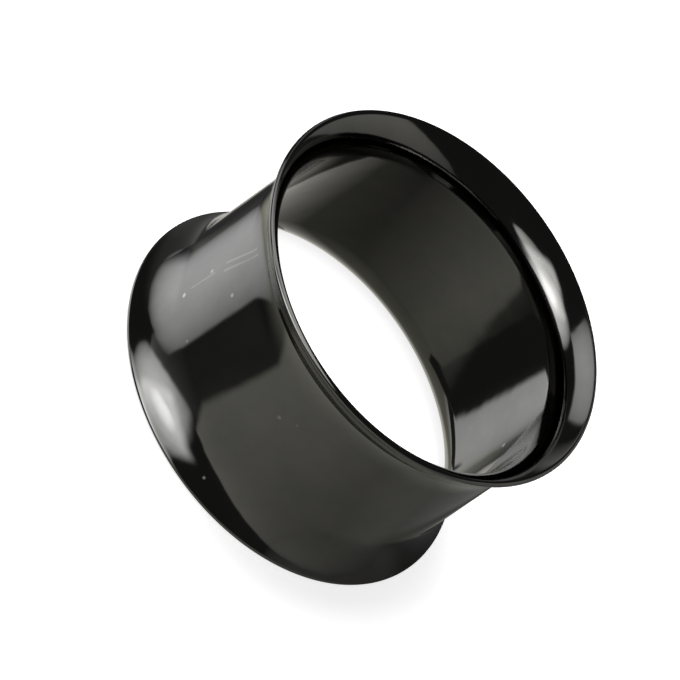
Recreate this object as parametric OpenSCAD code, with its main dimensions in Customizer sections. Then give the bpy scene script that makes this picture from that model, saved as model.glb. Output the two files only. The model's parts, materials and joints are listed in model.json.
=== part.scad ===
// Double-flared flesh tunnel: one thin-walled piece of steel, open right through.
// Z is the axis of the bore, and the tunnel stands on the lower of its two lips.
// The origin is at the centre of that lip. All sizes are in millimetres.

/* [Tube] */
// Outside diameter of the straight tube, which is the gauge that it is sold by
tube_d = 16; // [12:0.5:25]
// Thickness of the tube's wall
wall = 0.4; // [0.4:0.01:0.6]
// Overall length, from the face of one lip to the face of the other
overall_l = 10; // [9:0.5:14]

/* [Flares] */
// How far each lip stands out past the outside of the tube
flare_rise = 0.86; // [0.7:0.02:1]
// Radius of the hollow sweep from the outside of the tube to a lip
outer_sweep_r = 3.9; // [3:0.1:4.6]
// Radius of the round sweep from the bore to a lip
inner_sweep_r = 2.4; // [2:0.1:2.8]
// Thickness of the rounded edge of a lip
lip_t = 0.28; // [0.24:0.02:0.36]

/* [Hidden] */
$fn = 180;
half_l = overall_l / 2;
tube_r = tube_d / 2;
bore_r = tube_r - wall;

// The section is drawn with x out from the axis and y along it, from mid length up.
// The lip's edge is a small circle about this centre.
edge_r = lip_t / 2;
edge_x = tube_r + flare_rise - edge_r;
edge_y = half_l - edge_r;

// Centres of the two sweeps, laid out so that each runs into the lip's edge without a
// corner. The edge's circle stands proud of them by a hair, so that it crosses theirs.
hair = 0.001;
outer_reach = outer_sweep_r + edge_r - hair;
outer_x = tube_r + outer_sweep_r;
outer_y = edge_y - sqrt(outer_reach ^ 2 - (outer_x - edge_x) ^ 2);
inner_reach = inner_sweep_r - edge_r + hair;
inner_x = bore_r + inner_sweep_r;
inner_y = edge_y - sqrt(inner_reach ^ 2 - (inner_x - edge_x) ^ 2);

// A point on the line from the inner sweep's centre through the edge's, well past both
past_edge = [2 * edge_x - inner_x, 2 * edge_y - inner_y];

// The inner sweep's circle, kept as far as the middle of the lip's edge
module inner_sweep() {
    intersection() {
        translate([inner_x, inner_y]) circle(inner_sweep_r);
        polygon([
            [bore_r, inner_y], [outer_x, outer_y],
            [edge_x, edge_y], past_edge, [bore_r, past_edge.y]
        ]);
    }
}

// The space outside the tube and above its mid length
module outside() {
    translate([tube_r, 0]) square([flare_rise, outer_y]);
    translate([outer_x, outer_y]) circle(outer_sweep_r);
}

// Half of the wall's section, from mid length up to the edge of one lip
module half_section() {
    difference() {
        union() {
            translate([bore_r, 0]) square([wall + flare_rise, inner_y]);
            inner_sweep();
        }
        outside();
    }
    translate([edge_x, edge_y]) circle(edge_r);
}

module tunnel() {
    color("#2b2b2b")
    translate([0, 0, half_l])
    rotate_extrude() {
        half_section();
        mirror([0, 1]) half_section();
    }
}

tunnel();
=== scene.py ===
# %% [markdown]
# # A flesh tunnel in black steel
# The real piece is turned from surgical steel: a short thin tube whose wall sweeps out
# into a thin lip at each end, so that a stretched piercing holds it. It is polished like a
# mirror and then coated black. This script takes the frame of its CAD model as it is, and
# gives it the wall, the finish, the studio and the camera of a catalogue photograph.

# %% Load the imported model
import bpy
import math
from mathutils import Matrix, Vector
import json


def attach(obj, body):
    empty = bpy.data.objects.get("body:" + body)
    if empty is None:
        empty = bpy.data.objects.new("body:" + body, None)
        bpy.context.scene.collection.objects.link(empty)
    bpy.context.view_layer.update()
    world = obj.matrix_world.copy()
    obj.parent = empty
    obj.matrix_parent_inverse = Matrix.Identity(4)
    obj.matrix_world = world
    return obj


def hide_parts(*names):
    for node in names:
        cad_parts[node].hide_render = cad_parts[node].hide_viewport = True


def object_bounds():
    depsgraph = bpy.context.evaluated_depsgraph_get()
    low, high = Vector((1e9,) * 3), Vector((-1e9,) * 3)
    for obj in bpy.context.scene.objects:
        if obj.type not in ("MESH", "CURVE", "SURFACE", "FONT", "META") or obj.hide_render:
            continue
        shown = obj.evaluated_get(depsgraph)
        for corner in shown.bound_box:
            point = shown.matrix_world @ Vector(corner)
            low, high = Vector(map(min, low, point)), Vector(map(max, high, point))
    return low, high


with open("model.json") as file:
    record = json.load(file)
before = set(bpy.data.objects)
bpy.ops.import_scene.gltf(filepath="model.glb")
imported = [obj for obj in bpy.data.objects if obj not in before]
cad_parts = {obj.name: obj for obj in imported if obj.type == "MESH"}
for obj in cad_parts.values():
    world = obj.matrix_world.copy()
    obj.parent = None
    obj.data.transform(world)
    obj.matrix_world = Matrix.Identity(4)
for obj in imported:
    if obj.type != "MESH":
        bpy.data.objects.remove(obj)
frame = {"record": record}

cad_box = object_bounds()
lowest, highest = Vector(cad_box[0]), Vector(cad_box[1])
middle = (lowest + highest) / 2
MM = 0.001
print("CAD box in mm:", [round(v / MM, 3) for v in highest - lowest])

# %% [markdown]
# ## The camera
# The photograph looks down into the bore, and leans the axis of the tunnel over to the
# right. Here the tunnel stands on its lip as it would by itself, so the lean goes into
# the camera: it looks down at 40.55 degrees and is rolled by 55. A long lens far away
# keeps the two lips almost the same size, as they are in the photograph. The values of
# the camera were fitted to the outline by a separate program, and then rounded.

# %% Place the camera
PHOTO_SIDE = 680
TUBE_ACROSS_PX = 376.2
MIDDLE_AT_PX = (362.6, 347.7)
CAMERA_AWAY_PX = 10640
LOOK_DOWN = math.radians(40.55)
ROLL = math.radians(55)
SENSOR_WIDE = 36
TUBE_R = 8.0 * MM

px = 2 * TUBE_R / TUBE_ACROSS_PX
looking = Matrix.Rotation(math.radians(90) - LOOK_DOWN, 3, "X") @ Matrix.Rotation(ROLL, 3, "Z")
right, up, back = looking.col[0], looking.col[1], looking.col[2]
off_x = MIDDLE_AT_PX[0] - PHOTO_SIDE / 2
off_y = MIDDLE_AT_PX[1] - PHOTO_SIDE / 2
aim = middle - right * off_x * px + up * off_y * px

lens = bpy.data.cameras.new("camera")
lens.sensor_width = SENSOR_WIDE
lens.lens = SENSOR_WIDE * CAMERA_AWAY_PX / PHOTO_SIDE
lens.clip_start = 0.01
lens.clip_end = 20
camera = bpy.data.objects.new("camera", lens)
bpy.context.collection.objects.link(camera)
camera.matrix_world = Matrix.Translation(aim + back * CAMERA_AWAY_PX * px) @ looking.to_4x4()
bpy.context.scene.camera = camera
print("camera", round(CAMERA_AWAY_PX * px, 3), "m away, lens", round(lens.lens), "mm")

# %% [markdown]
# ## The wall of the tunnel
# On the lathe the wall is one section turned about the axis. It could be a cylinder with
# its ends scaled out, but a mirror finish shows every facet, and a bent end has the wrong
# reflections. So half of the section is drawn as the turner cuts it: a straight tube, a
# hollow sweep out to the lip, the lip's small round edge, a round sweep back in, and the
# straight bore. One point is pulled along that line, mirrored and spun about the axis.

# %% Work out the section from the record and the CAD box
# The lip and the two sweeps are as in the CAD source, fitted to the photograph there.
LIP_THICK = 0.28 * MM
OUTER_SWEEP_R = 3.9 * MM
INNER_SWEEP_R = 2.4 * MM
bore_mount = [m for m in frame["record"]["mounts"] if m["name"] == "bore"][0]
bore_r = bore_mount["dims"]["r_mm"] * MM
lip_r = (highest.x - lowest.x) / 2
half_l = (highest.z - lowest.z) / 2

edge_r = LIP_THICK / 2
edge = Vector((lip_r - edge_r, half_l - edge_r))
outer_reach = OUTER_SWEEP_R + edge_r
outer_x = TUBE_R + OUTER_SWEEP_R
outer = Vector((outer_x, edge.y - math.sqrt(outer_reach ** 2 - (outer_x - edge.x) ** 2)))
inner_reach = INNER_SWEEP_R - edge_r
inner_x = bore_r + INNER_SWEEP_R
inner = Vector((inner_x, edge.y - math.sqrt(inner_reach ** 2 - (inner_x - edge.x) ** 2)))
print("wall", round((TUBE_R - bore_r) / MM, 2), "mm, lip radius", round(lip_r / MM, 2), "mm")

# %% Start from one point at mid length, on the outside of the tube
for thing in bpy.context.selected_objects:
    thing.select_set(False)
bpy.ops.mesh.primitive_plane_add(size=MM, location=(0, 0, 0))
tunnel = bpy.context.object
tunnel.name = "tunnel_steel"
bpy.ops.object.mode_set(mode="EDIT")
bpy.ops.mesh.select_all(action="SELECT")
bpy.ops.mesh.merge(type="CENTER")
bpy.ops.transform.translate(value=(TUBE_R, 0, middle.z))


# %% Pull the point along the half section
def pull(height, steps):
    """Draw a straight stretch in several steps, so that its shading stays straight."""
    for step in range(steps):
        bpy.ops.mesh.extrude_region_move(
            TRANSFORM_OT_translate={"value": (0, 0, height / steps)})


def sweep(centre, degrees, steps):
    """Draw an arc about a centre given as distance from the axis and from mid length."""
    bpy.ops.mesh.spin(
        steps=steps, angle=math.radians(degrees), axis=(0, 1, 0),
        center=(centre.x, 0, middle.z + centre.y))


STRAIGHT_STEPS = 4
OUTER_STEPS = 28
EDGE_STEPS = 12
INNER_STEPS = 36
outer_turn = math.degrees(math.atan2(edge.y - outer.y, outer.x - edge.x))
inner_turn = math.degrees(math.atan2(edge.y - inner.y, inner.x - edge.x))
pull(outer.y, STRAIGHT_STEPS)
sweep(outer, -outer_turn, OUTER_STEPS)
sweep(edge, 180 + outer_turn - inner_turn, EDGE_STEPS)
sweep(inner, inner_turn, INNER_STEPS)
pull(-inner.y, STRAIGHT_STEPS)
print("outer sweep", round(outer_turn, 1), "degrees, inner sweep", round(inner_turn, 1))

# %% Mirror the half section and turn it about the axis
TURN_STEPS = 512
WELD = 0.002 * MM
bpy.ops.mesh.select_all(action="SELECT")
bpy.ops.mesh.duplicate()
bpy.ops.transform.resize(value=(1, 1, -1), center_override=middle)
bpy.ops.mesh.select_all(action="SELECT")
bpy.ops.mesh.remove_doubles(threshold=WELD)
bpy.ops.mesh.spin(
    steps=TURN_STEPS, angle=math.radians(360), axis=(0, 0, 1), center=middle)
bpy.ops.mesh.select_all(action="SELECT")
bpy.ops.mesh.remove_doubles(threshold=WELD)
bpy.ops.mesh.normals_make_consistent(inside=False)
bpy.ops.mesh.faces_shade_smooth()
bpy.ops.object.mode_set(mode="OBJECT")
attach(tunnel, "root")
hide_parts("tunnel")
print("faces in the wall:", len(tunnel.data.polygons))

# %% [markdown]
# ## Black-coated mirror steel
# The metal is taken to be 316L surgical steel, turned, polished with ever finer grit, and
# coated in a vacuum with a few thousandths of a millimetre of titanium carbide. Both are
# guesses from the look. Such a coat is itself a metal, so it reflects like one, but only
# about an eighth of the light. What the eye gets is a black mirror: soft grey pictures of
# the lamps, with deep black between them. A black plastic material would reflect far less
# face on, so this one is a dark metal. Its exact grey is open, because a darker coat under
# brighter lamps would look the same.


# %% Helpers for colours and nodes
def colour(hex_code):
    """Turn an sRGB hex colour into the linear one that Blender works in."""
    parts = [int(hex_code[i:i + 2], 16) / 255 for i in (1, 3, 5)]
    straight = [c / 12.92 if c <= 0.04045 else ((c + 0.055) / 1.055) ** 2.4 for c in parts]
    return (*straight, 1)


def add_node(tree, kind, sockets=(), **settings):
    """Add a node with its settings, and a value or a link for each named socket."""
    node = tree.nodes.new(kind)
    for name, value in settings.items():
        setattr(node, name, value)
    for name, value in dict(sockets).items():
        if isinstance(value, bpy.types.NodeSocket):
            tree.links.new(value, node.inputs[name])
        else:
            node.inputs[name].default_value = value
    return node


# %% Start the coat from its shader
steel = bpy.data.materials.new("black_coated_316L_steel")
steel.use_nodes = True
coat = steel.node_tree
coat.nodes.clear()
shader = add_node(coat, "ShaderNodeBsdfPrincipled", {"Metallic": 1.0})
add_node(coat, "ShaderNodeOutputMaterial", {"Surface": shader.outputs["BSDF"]})
place = add_node(coat, "ShaderNodeTexCoord").outputs["Object"]

# %% [markdown]
# ### The coat's colour
# A vacuum coat is never quite even: its thickness drifts over a few millimetres, and the
# grey drifts with it. A noise about 3 mm across moves the colour between two close greys.

# %% Let the grey of the coat drift
CLOUD_ACROSS = 3.0 * MM
DARKER_GREY = "#5C5C5A"
LIGHTER_GREY = "#656462"
clouds = add_node(coat, "ShaderNodeTexNoise", {
    "Vector": place, "Scale": 1 / CLOUD_ACROSS, "Detail": 4.0, "Roughness": 0.7})
grey = add_node(coat, "ShaderNodeValToRGB", {"Fac": clouds.outputs["Fac"]})
grey.color_ramp.elements[0].position = 0.3
grey.color_ramp.elements[0].color = colour(DARKER_GREY)
grey.color_ramp.elements[1].position = 0.7
grey.color_ramp.elements[1].color = colour(LIGHTER_GREY)

# %% [markdown]
# ### Polishing lines and a slow wave
# The polishing wheel runs round the wall, so it leaves the finest of lines round it too.
# Real ones are a few thousandths of a millimetre apart, far too fine to show. They are
# drawn about 0.09 mm apart, two picture dots, and stay hardly visible. Under them the
# wall is not quite true: it waves by a few thousandths over a millimetre or two, which is
# enough to make the straight edge of a reflected lamp tremble.

# %% Draw the polishing lines and the wave
LINE_APART = 0.09 * MM
LINE_DEPTH = 0.00002 * MM
WAVE_ACROSS = 1.2 * MM
WAVE_DEPTH = 0.008 * MM
parts = add_node(coat, "ShaderNodeSeparateXYZ", {"Vector": place})
flat = add_node(coat, "ShaderNodeCombineXYZ", {"X": parts.outputs["X"], "Y": parts.outputs["Y"]})
from_axis = add_node(coat, "ShaderNodeVectorMath", {0: flat.outputs[0]}, operation="LENGTH")
along = add_node(coat, "ShaderNodeCombineXYZ", {
    "X": from_axis.outputs["Value"], "Y": parts.outputs["Z"]})
lines = add_node(coat, "ShaderNodeTexNoise", {
    "Vector": along.outputs[0], "Scale": 1 / LINE_APART, "Detail": 2.0, "Roughness": 0.6})
wave = add_node(coat, "ShaderNodeTexNoise", {
    "Vector": place, "Scale": 1 / WAVE_ACROSS, "Detail": 1.0, "Roughness": 0.4})
wavy = add_node(coat, "ShaderNodeBump", {
    "Height": wave.outputs["Fac"], "Strength": 1.0, "Distance": WAVE_DEPTH})
lined = add_node(coat, "ShaderNodeBump", {
    "Height": lines.outputs["Fac"], "Strength": 1.0, "Distance": LINE_DEPTH,
    "Normal": wavy.outputs["Normal"]})
coat.links.new(lined.outputs["Normal"], shader.inputs["Normal"])

# %% [markdown]
# ### Pinholes and scratches
# Handling chips a thin coat and scores it, and bright bare steel looks through. The
# photograph shows a few such pinholes and fine scratches. Each is placed by where it is
# on the wall, in millimetres, so it stays there from any side. A pinhole is a small ball
# of space round its place, and a scratch is a thin rod of space between two places. A
# mark is full as far out as its core, and fades from there to its rim. A separate
# program worked the places out from where the marks lie in the photograph.

# %% Mark the pinholes
# Each row has the place, the radius, and how bare the steel is there.
PINHOLES = [
    ((-6.15, -5.12, 2.91), 0.14, 0.45), ((-6.29, -4.94, 4.81), 0.13, 0.25),
    ((-4.96, -6.28, 6.11), 0.12, 0.35), ((-4.47, -6.63, 2.89), 0.10, 0.30),
    ((0.38, -7.99, 5.85), 0.12, 0.20), ((1.09, -7.93, 6.35), 0.09, 0.10),
    ((0.65, -8.41, 0.84), 0.11, 0.70), ((6.88, 3.24, 5.57), 0.14, 0.60),
]
CORE = 0.4
holes = 0.0
for at, size, depth in PINHOLES:
    gap = add_node(coat, "ShaderNodeVectorMath", {
        0: place, 1: Vector(at) * MM}, operation="DISTANCE")
    hole = add_node(coat, "ShaderNodeMapRange", {
        "Value": gap.outputs["Value"], "From Min": size * MM, "From Max": CORE * size * MM,
        "To Max": depth}, interpolation_type="SMOOTHSTEP")
    either = add_node(coat, "ShaderNodeMath", {0: holes, 1: hole.outputs[0]}, operation="MAXIMUM")
    holes = either.outputs[0]
print("pinholes:", len(PINHOLES))

# %% Mark the scratches
# Each row has the two ends and the radius.
SCRATCHES = [
    ((-6.22, -5.03, 5.85), (-5.96, -5.40, 7.95), 0.08),
    ((-6.01, -5.29, 5.70), (-5.74, -5.67, 8.05), 0.08),
    ((-6.22, -5.03, 3.40), (-6.17, -5.09, 5.00), 0.06),
]
SCRATCH_BARE = 0.10
scores = 0.0
for start, end, size in SCRATCHES:
    start, end = Vector(start) * MM, Vector(end) * MM
    length = (end - start).length
    from_start = add_node(coat, "ShaderNodeVectorMath", {0: place, 1: start}, operation="SUBTRACT")
    run = add_node(coat, "ShaderNodeVectorMath", {
        0: from_start.outputs[0], 1: (end - start) / length}, operation="DOT_PRODUCT")
    kept = add_node(coat, "ShaderNodeClamp", {"Value": run.outputs["Value"], "Max": length})
    nearest = add_node(coat, "ShaderNodeVectorMath", {
        0: (end - start) / length, "Scale": kept.outputs[0]}, operation="SCALE")
    gap = add_node(coat, "ShaderNodeVectorMath", {
        0: from_start.outputs[0], 1: nearest.outputs[0]}, operation="DISTANCE")
    score = add_node(coat, "ShaderNodeMapRange", {
        "Value": gap.outputs["Value"], "From Min": size * MM, "From Max": CORE * size * MM,
        "To Max": SCRATCH_BARE}, interpolation_type="SMOOTHSTEP")
    either = add_node(coat, "ShaderNodeMath", {0: scores, 1: score.outputs[0]}, operation="MAXIMUM")
    scores = either.outputs[0]
print("scratches:", len(SCRATCHES))

# %% Let bare steel show in the marks
BARE_STEEL = "#C4C2BE"
COAT_ROUGH = 0.07
BARE_ROUGH = 0.4
bare = add_node(coat, "ShaderNodeMath", {0: holes, 1: scores}, operation="MAXIMUM")
tone = add_node(coat, "ShaderNodeMix", {
    0: bare.outputs[0], 6: grey.outputs["Color"], 7: colour(BARE_STEEL)}, data_type="RGBA")
rough = add_node(coat, "ShaderNodeMapRange", {
    "Value": bare.outputs[0], "To Min": COAT_ROUGH, "To Max": BARE_ROUGH})
coat.links.new(tone.outputs[2], shader.inputs["Base Color"])
coat.links.new(rough.outputs[0], shader.inputs["Roughness"])

# %% Give the wall its finish
tunnel.data.materials.clear()
tunnel.data.materials.append(steel)
print("nodes in the coat:", len(coat.nodes))

# %% [markdown]
# ## The floor and the white beyond it
# The catalogue photograph stands the piece on white, lit until it has hardly a shade of
# its own. A floor that glows like a light table and is lit from above as well does the
# same: it stays white through the bore, and only the closest shade outside shows. It is
# kept out of the reflections, because a studio screens it from the steel with cards, and
# the steel would turn pale otherwise. Inside the bore the glow is stronger: a painted pool
# of light where the wall would shade the floor. Outside the lip it is a little weaker.

# %% Lay the floor
FLOOR_R = 3
# Painted light: inside the bore the floor glows more, where the wall would shade it.
GLOW_WITH_PAINTED_LIGHT_IN_BORE = 1.0
GLOW_OUTSIDE = 0.8
bpy.ops.mesh.primitive_circle_add(
    vertices=96, radius=FLOOR_R, fill_type="NGON", location=(0, 0, 0))
floor = bpy.context.object
floor.name = "floor"
paper = bpy.data.materials.new("light_table_with_painted_bore_light")
paper.use_nodes = True
table = paper.node_tree
table.nodes.clear()
on_floor = add_node(table, "ShaderNodeTexCoord").outputs["Object"]
out_from = add_node(table, "ShaderNodeVectorMath", {0: on_floor}, operation="LENGTH")
# Painted pool of light: the glow rises from outside the lip to inside the bore, so the wall's shade
# doesn't show there.
glow_with_painted_bore_light = add_node(table, "ShaderNodeMapRange", {
    "Value": out_from.outputs["Value"], "From Min": bore_r, "From Max": lip_r,
    "To Min": GLOW_WITH_PAINTED_LIGHT_IN_BORE, "To Max": GLOW_OUTSIDE}, interpolation_type="SMOOTHSTEP")
white = add_node(table, "ShaderNodeBsdfPrincipled", {
    "Base Color": colour("#F0F0F0"), "Roughness": 0.9, "Emission Color": (1, 1, 1, 1),
    "Emission Strength": glow_with_painted_bore_light.outputs[0]})
add_node(table, "ShaderNodeOutputMaterial", {"Surface": white.outputs[0]})
floor.data.materials.append(paper)
floor.visible_glossy = False
floor.visible_shadow = False
print("floor radius:", FLOOR_R, "m")

# %% [markdown]
# ## The studio
# A mirror shows the room, so its lamps and cards are most of the look. Area lights would
# do, but each would be evenly bright, and real lamp heads are brightest at the middle.
# So each lamp is a flat sheet that glows, clear where it is dark, and seen only by the
# steel. A sheet is placed in degrees round the tunnel (0 is the camera's side and 90 is
# the X axis) and up from the level, then turned, tipped and swung. Its distance and size
# are in millimetres, and its slope and fall say how its light drops across it. The
# steel sees through the floor, so several sheets hang below it.
#
# The numbers of the sheets and flags were not set by eye. A separate program fitted them
# to the brightness of the reflections in the photograph, and they were then rounded. So
# a name or comment below says what a sheet draws here. What lamps and cards stood in
# the real studio is not known.


# %% Write down how a sheet of light is hung
def place_round(side, height, turn, tip, swing, away):
    """Give the place and turning of a sheet that hangs round the tunnel."""
    outwards = Matrix.Rotation(math.radians(side), 3, "Z") @ Vector(
        (0, -math.cos(math.radians(height)), math.sin(math.radians(height))))
    facing = (
        Matrix.Rotation(math.radians(side + 180), 4, "Z")
        @ Matrix.Rotation(math.radians(90 + height), 4, "X")
        @ Matrix.Rotation(math.radians(turn), 4, "Z")
        @ Matrix.Rotation(math.radians(tip), 4, "X")
        @ Matrix.Rotation(math.radians(swing), 4, "Y"))
    return Matrix.Translation(middle + outwards * away * MM) @ facing


def keep_from_view(sheet):
    """Let only the steel see a sheet."""
    sheet.visible_camera = False
    sheet.visible_diffuse = False
    sheet.visible_shadow = False


def hang_light(name, side, height, turn, tip, swing, away, wide, tall, light,
               slope, fall, soft, tint="#FFFFFF"):
    """Hang one sheet of light, with its own spread of brightness and soft edges."""
    bpy.ops.mesh.primitive_plane_add(size=2 * (1 + soft), location=(0, 0, 0))
    sheet = bpy.context.object
    sheet.name = name
    halves = Matrix.Diagonal((wide / 2 * MM, tall / 2 * MM, 1, 1))
    sheet.matrix_world = place_round(side, height, turn, tip, swing, away) @ halves
    lit = bpy.data.materials.new(name)
    lit.use_nodes = True
    tree = lit.node_tree
    tree.nodes.clear()
    at = add_node(tree, "ShaderNodeTexCoord").outputs["Object"]
    across = add_node(tree, "ShaderNodeVectorMath", {0: at, 1: (*slope, 0)}, operation="DOT_PRODUCT")
    out_from = add_node(tree, "ShaderNodeVectorMath", {0: at, 1: at}, operation="DOT_PRODUCT")
    drop = add_node(tree, "ShaderNodeMath", {
        0: out_from.outputs["Value"], 1: -fall, 2: 1.0}, operation="MULTIPLY_ADD")
    level = add_node(tree, "ShaderNodeMath", {0: drop.outputs[0], 1: across.outputs["Value"]})
    level = add_node(tree, "ShaderNodeMath", {0: level.outputs[0], 1: 0.0}, operation="MAXIMUM")
    level = add_node(tree, "ShaderNodeMath", {0: level.outputs[0], 1: light}, operation="MULTIPLY")
    apart = add_node(tree, "ShaderNodeVectorMath", {0: at}, operation="ABSOLUTE")
    apart = add_node(tree, "ShaderNodeSeparateXYZ", {"Vector": apart.outputs[0]})
    for way in ("X", "Y"):
        fade = add_node(tree, "ShaderNodeMapRange", {
            "Value": apart.outputs[way], "From Min": 1 + soft, "From Max": 1 - soft},
            interpolation_type="SMOOTHSTEP")
        level = add_node(tree, "ShaderNodeMath", {
            0: level.outputs[0], 1: fade.outputs[0]}, operation="MULTIPLY")
    lamp = add_node(tree, "ShaderNodeEmission", {
        "Color": colour(tint), "Strength": level.outputs[0]})
    clear = add_node(tree, "ShaderNodeBsdfTransparent")
    both = add_node(tree, "ShaderNodeAddShader", {0: lamp.outputs[0], 1: clear.outputs[0]})
    add_node(tree, "ShaderNodeOutputMaterial", {"Surface": both.outputs[0]})
    sheet.data.materials.append(lit)
    keep_from_view(sheet)


# %% Hang the softboxes and cards
# The main softbox, low at the front left, makes the highlight on the left-hand flare
# and the bright crescent inside the front one.
hang_light(
    "front_softbox", side=316.3, height=15.6, turn=-69, tip=-26, swing=-13,
    away=178, wide=149, tall=201, light=3.29,
    slope=(0.49, -0.12), fall=0.85, soft=0.12, tint="#FCFDFF")
# A wide umbrella behind it carries both of these further.
hang_light(
    "front_umbrella", side=327.7, height=19.2, turn=-125, tip=-9, swing=-23,
    away=1495, wide=1001, tall=979, light=1.20,
    slope=(0.05, -0.52), fall=-0.79, soft=0.28, tint="#FCFDFF")
# A soft bright patch in the middle of the umbrella makes their white middles.
hang_light(
    "front_core", side=326.2, height=11.4, turn=30, tip=64, swing=-16,
    away=1481, wide=681, tall=965, light=3.06,
    slope=(-0.02, -0.04), fall=0.95, soft=0.45, tint="#FCFDFF")
# A high softbox on the left makes the grey patch on the right-hand flare and the lower
# right of the patch in the bore.
hang_light(
    "high_softbox", side=265.6, height=47.6, turn=156, tip=32, swing=38,
    away=445, wide=409, tall=437, light=1.72,
    slope=(0.00, 0.52), fall=0.52, soft=0.05, tint="#FAFCFF")
# A softbox at the left makes the light band along the tube and the patch in the bore.
hang_light(
    "left_softbox", side=260.7, height=-24.9, turn=46, tip=-16, swing=35,
    away=108, wide=119, tall=134, light=2.06,
    slope=(-0.33, 0.12), fall=0.93, soft=0.03, tint="#FCFDFF")
# A grey card close on the right gives the soft grey at the top of the front flare.
hang_light(
    "right_card", side=88.4, height=24.9, turn=55, tip=-4, swing=53,
    away=17.1, wide=24.1, tall=44.5, light=0.36,
    slope=(0.19, 0.90), fall=0.37, soft=0.05, tint="#FFFFFA")
# A card low at the front right gives the warm dark grey of the tube's underside.
hang_light(
    "table_card", side=49.8, height=-11.9, turn=113, tip=36, swing=48,
    away=18.6, wide=42.1, tall=27.9, light=0.28,
    slope=(-0.71, -0.95), fall=0.27, soft=0.05, tint="#FFFFF4")
# A darker one, behind and well below, shows in the wall of the bore.
hang_light(
    "far_table", side=173.6, height=-58.9, turn=-63, tip=-23, swing=-51,
    away=52.7, wide=89.7, tall=73.7, light=0.21,
    slope=(-0.61, -0.68), fall=-0.22, soft=0.30, tint="#FFFFEA")
# A card behind and below gives the thin light edge beside the hole.
hang_light(
    "back_card", side=190.5, height=-49.3, turn=138, tip=-60, swing=27,
    away=29.3, wide=33.7, tall=38.4, light=0.59,
    slope=(0.95, -0.41), fall=0.63, soft=0.05, tint="#FFFCF4")
# A narrow strip close in front brightens the top of the crescent.
hang_light(
    "front_spot", side=2.9, height=30.0, turn=34, tip=-5, swing=-73,
    away=32.1, wide=55.9, tall=9.2, light=2.13,
    slope=(0.69, 0.05), fall=0.80, soft=0.04)
# A wall far off at the back left, hardly lit, lifts the black at the top of the back
# flare.
hang_light(
    "left_wall", side=226.9, height=-27.6, turn=-90, tip=-14, swing=38,
    away=1460, wide=1010, tall=1920, light=0.07,
    slope=(0.71, -0.59), fall=-0.74, soft=0.30)
# A dim card low at the front left shows between the band and the highlight below it.
hang_light(
    "low_card", side=298.7, height=-10.0, turn=-39, tip=-65, swing=0,
    away=119, wide=40, tall=172, light=0.20,
    slope=(-0.39, 0.95), fall=-0.13, soft=0.30)
# A high strip of light draws the faint streak low on the right-hand flare.
hang_light(
    "high_strip", side=224.4, height=56.2, turn=-2, tip=-68, swing=-51,
    away=423, wide=98, tall=700, light=0.55,
    slope=(0.95, 0.95), fall=-0.25, soft=0.25)

# %% [markdown]
# ### The flags
# Photographers keep light off a part with flags, which are sheets of black cloth. One
# under the tunnel stops the left softbox from lighting the whole of the bore. A narrow
# one lower down draws the dark line beside the thin light edge of the hole. Both have
# feathered edges, so that no hard corner shows in the steel. They were fitted as well.

# %% Set the flags
ROOM_LIGHT = 0.047


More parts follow.
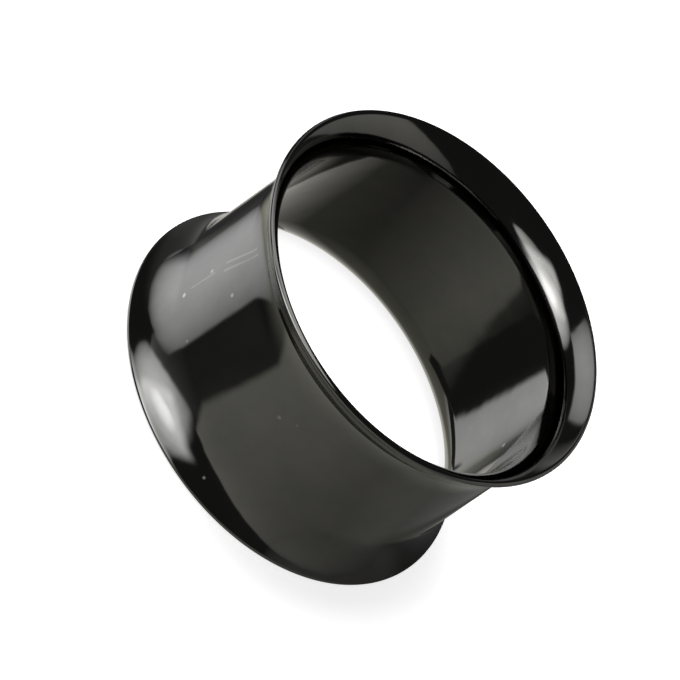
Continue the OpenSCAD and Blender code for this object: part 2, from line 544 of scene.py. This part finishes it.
def set_flag(name, side, height, turn, tip, swing, away, wide, tall, feather):
    """Set one black flag, placed and turned as the lights are, with feathered edges."""
    bpy.ops.mesh.primitive_plane_add(size=1, location=(0, 0, 0))
    flag = bpy.context.object
    flag.name = name
    flag.matrix_world = place_round(side, height, turn, tip, swing, away) @ Matrix.Diagonal(
        ((wide + feather) * MM, (tall + feather) * MM, 1, 1))
    cloth = bpy.data.materials.new("black_cloth_" + name)
    cloth.use_nodes = True
    tree = cloth.node_tree
    tree.nodes.clear()
    at = add_node(tree, "ShaderNodeTexCoord").outputs["Object"]
    apart = add_node(tree, "ShaderNodeVectorMath", {0: at}, operation="ABSOLUTE")
    apart = add_node(tree, "ShaderNodeSeparateXYZ", {"Vector": apart.outputs[0]})
    cover = 1.0
    for way, size in (("X", wide), ("Y", tall)):
        fade = add_node(tree, "ShaderNodeMapRange", {
            "Value": apart.outputs[way], "From Min": 0.5,
            "From Max": 0.5 * (size - feather) / (size + feather)},
            interpolation_type="SMOOTHSTEP")
        both = add_node(tree, "ShaderNodeMath", {
            0: cover, 1: fade.outputs[0]}, operation="MULTIPLY")
        cover = both.outputs[0]
    clear = add_node(tree, "ShaderNodeBsdfTransparent")
    dark = add_node(tree, "ShaderNodeEmission", {"Strength": ROOM_LIGHT})
    mixed = add_node(tree, "ShaderNodeMixShader", {
        0: cover, 1: clear.outputs[0], 2: dark.outputs[0]})
    add_node(tree, "ShaderNodeOutputMaterial", {"Surface": mixed.outputs[0]})
    flag.data.materials.append(cloth)
    keep_from_view(flag)


set_flag(
    "bore_flag", side=277.1, height=-66.9, turn=67, tip=1, swing=-65,
    away=17.2, wide=25.3, tall=8.1, feather=0.9)
set_flag(
    "edge_flag", side=237.9, height=-58.8, turn=20, tip=0, swing=0,
    away=26.6, wide=13.7, tall=4.3, feather=0.5)

# %% [markdown]
# ### The room and the light on the floor
# A catalogue picture ends in plain white. So the world round the studio is white where
# the camera looks past the floor, and almost dark for the steel, which keeps the black
# between the lamps deep. One soft light overhead is for the floor alone. It stands a
# little behind and to the left, so that the shade falls where the photograph has it.

# %% Dim the room for the steel, and keep it white for the camera
room = bpy.data.worlds.new("dim_room")
room.use_nodes = True
room.node_tree.nodes.clear()
seen = add_node(room.node_tree, "ShaderNodeLightPath").outputs["Is Camera Ray"]
level = add_node(room.node_tree, "ShaderNodeMapRange", {
    "Value": seen, "To Min": ROOM_LIGHT, "To Max": 1.0})
light = add_node(room.node_tree, "ShaderNodeBackground", {
    "Color": (1, 1, 1, 1), "Strength": level.outputs[0]})
add_node(room.node_tree, "ShaderNodeOutputWorld", {"Surface": light.outputs[0]})
bpy.context.scene.world = room
bpy.context.scene.view_settings.view_transform = "Standard"
print("light of the room on the steel:", ROOM_LIGHT)

# %% Light the floor from above
ABOVE = Vector((-0.16, 0.09, 0.6))
bpy.ops.object.light_add(type="AREA", location=ABOVE)
above = bpy.context.object
above.name = "overhead"
above.data.size = 0.3
above.data.energy = 3.0
above.rotation_euler = (-ABOVE).to_track_quat("-Z", "Y").to_euler()
above.visible_glossy = False
print("light overhead, m:", [round(v, 2) for v in ABOVE])

# %% [markdown]
# ## The size
# A finish doesn't change the size of a part.

# %% Import json
import json
